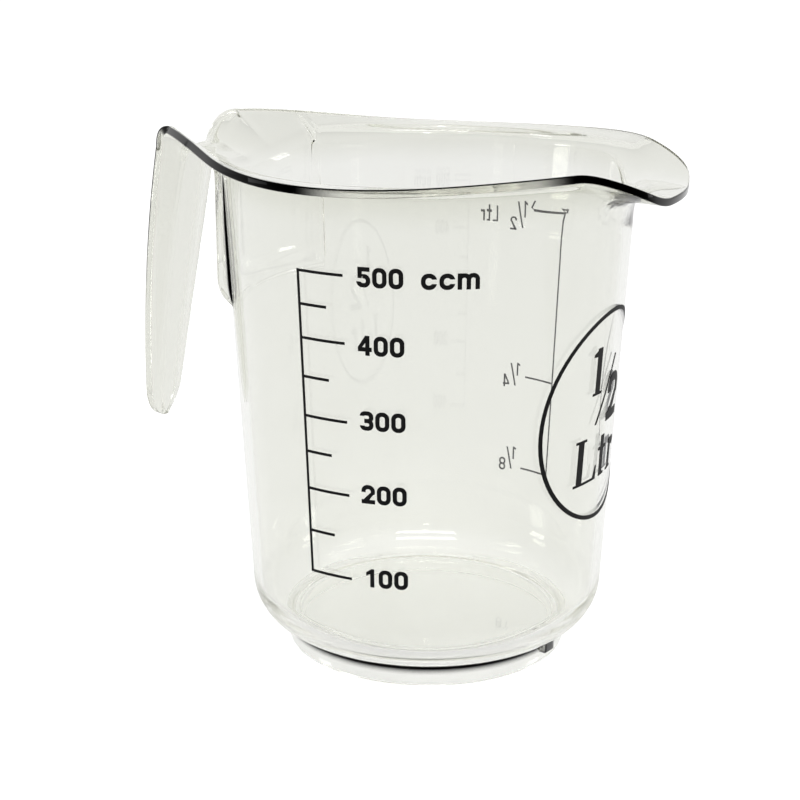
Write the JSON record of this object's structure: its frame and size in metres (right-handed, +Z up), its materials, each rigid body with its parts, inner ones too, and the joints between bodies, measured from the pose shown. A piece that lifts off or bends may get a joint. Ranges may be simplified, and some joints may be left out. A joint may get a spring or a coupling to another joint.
{
  "type": "measuring jug",
  "caption": "Clear plastic measuring jug with a pouring lip, a flat downward-pointing open handle, a foot ring and black printed measuring scales.",
  "frame": {"origin": "centre of the foot ring, on the bowl's axis, level with the surface it stands on", "axes": "+Z up along the bowl's axis, +X toward the pouring lip, -X toward the handle"},
  "size_m": [0.1327, 0.1096, 0.1238],
  "materials": {
    "clear_plastic": "clear, glossy, very slightly greenish grey",
    "black_ink": "thin black screen print, satin"
  },
  "bodies": {
    "root": {"foot_ring": "clear_plastic", "register_lug": "clear_plastic", "bowl_base": "clear_plastic", "bowl_wall": "clear_plastic", "handle_pocket": "clear_plastic", "rim_near": "clear_plastic", "rim_far": "clear_plastic", "pouring_lip": "clear_plastic", "handle_saddle": "clear_plastic", "handle_grip": "clear_plastic", "scale_line": "black_ink", "scale_marks_major": "black_ink", "scale_marks_minor": "black_ink", "number_500": "black_ink", "number_400": "black_ink", "number_300": "black_ink", "number_200": "black_ink", "number_100": "black_ink", "unit_ccm": "black_ink", "badge_ring": "black_ink", "badge_half": "black_ink", "badge_litre": "black_ink", "back_scale_line": "black_ink", "back_scale_marks": "black_ink", "back_half": "black_ink", "back_quarter": "black_ink", "back_eighth": "black_ink", "back_unit": "black_ink"}
  },
  "joints": []
}
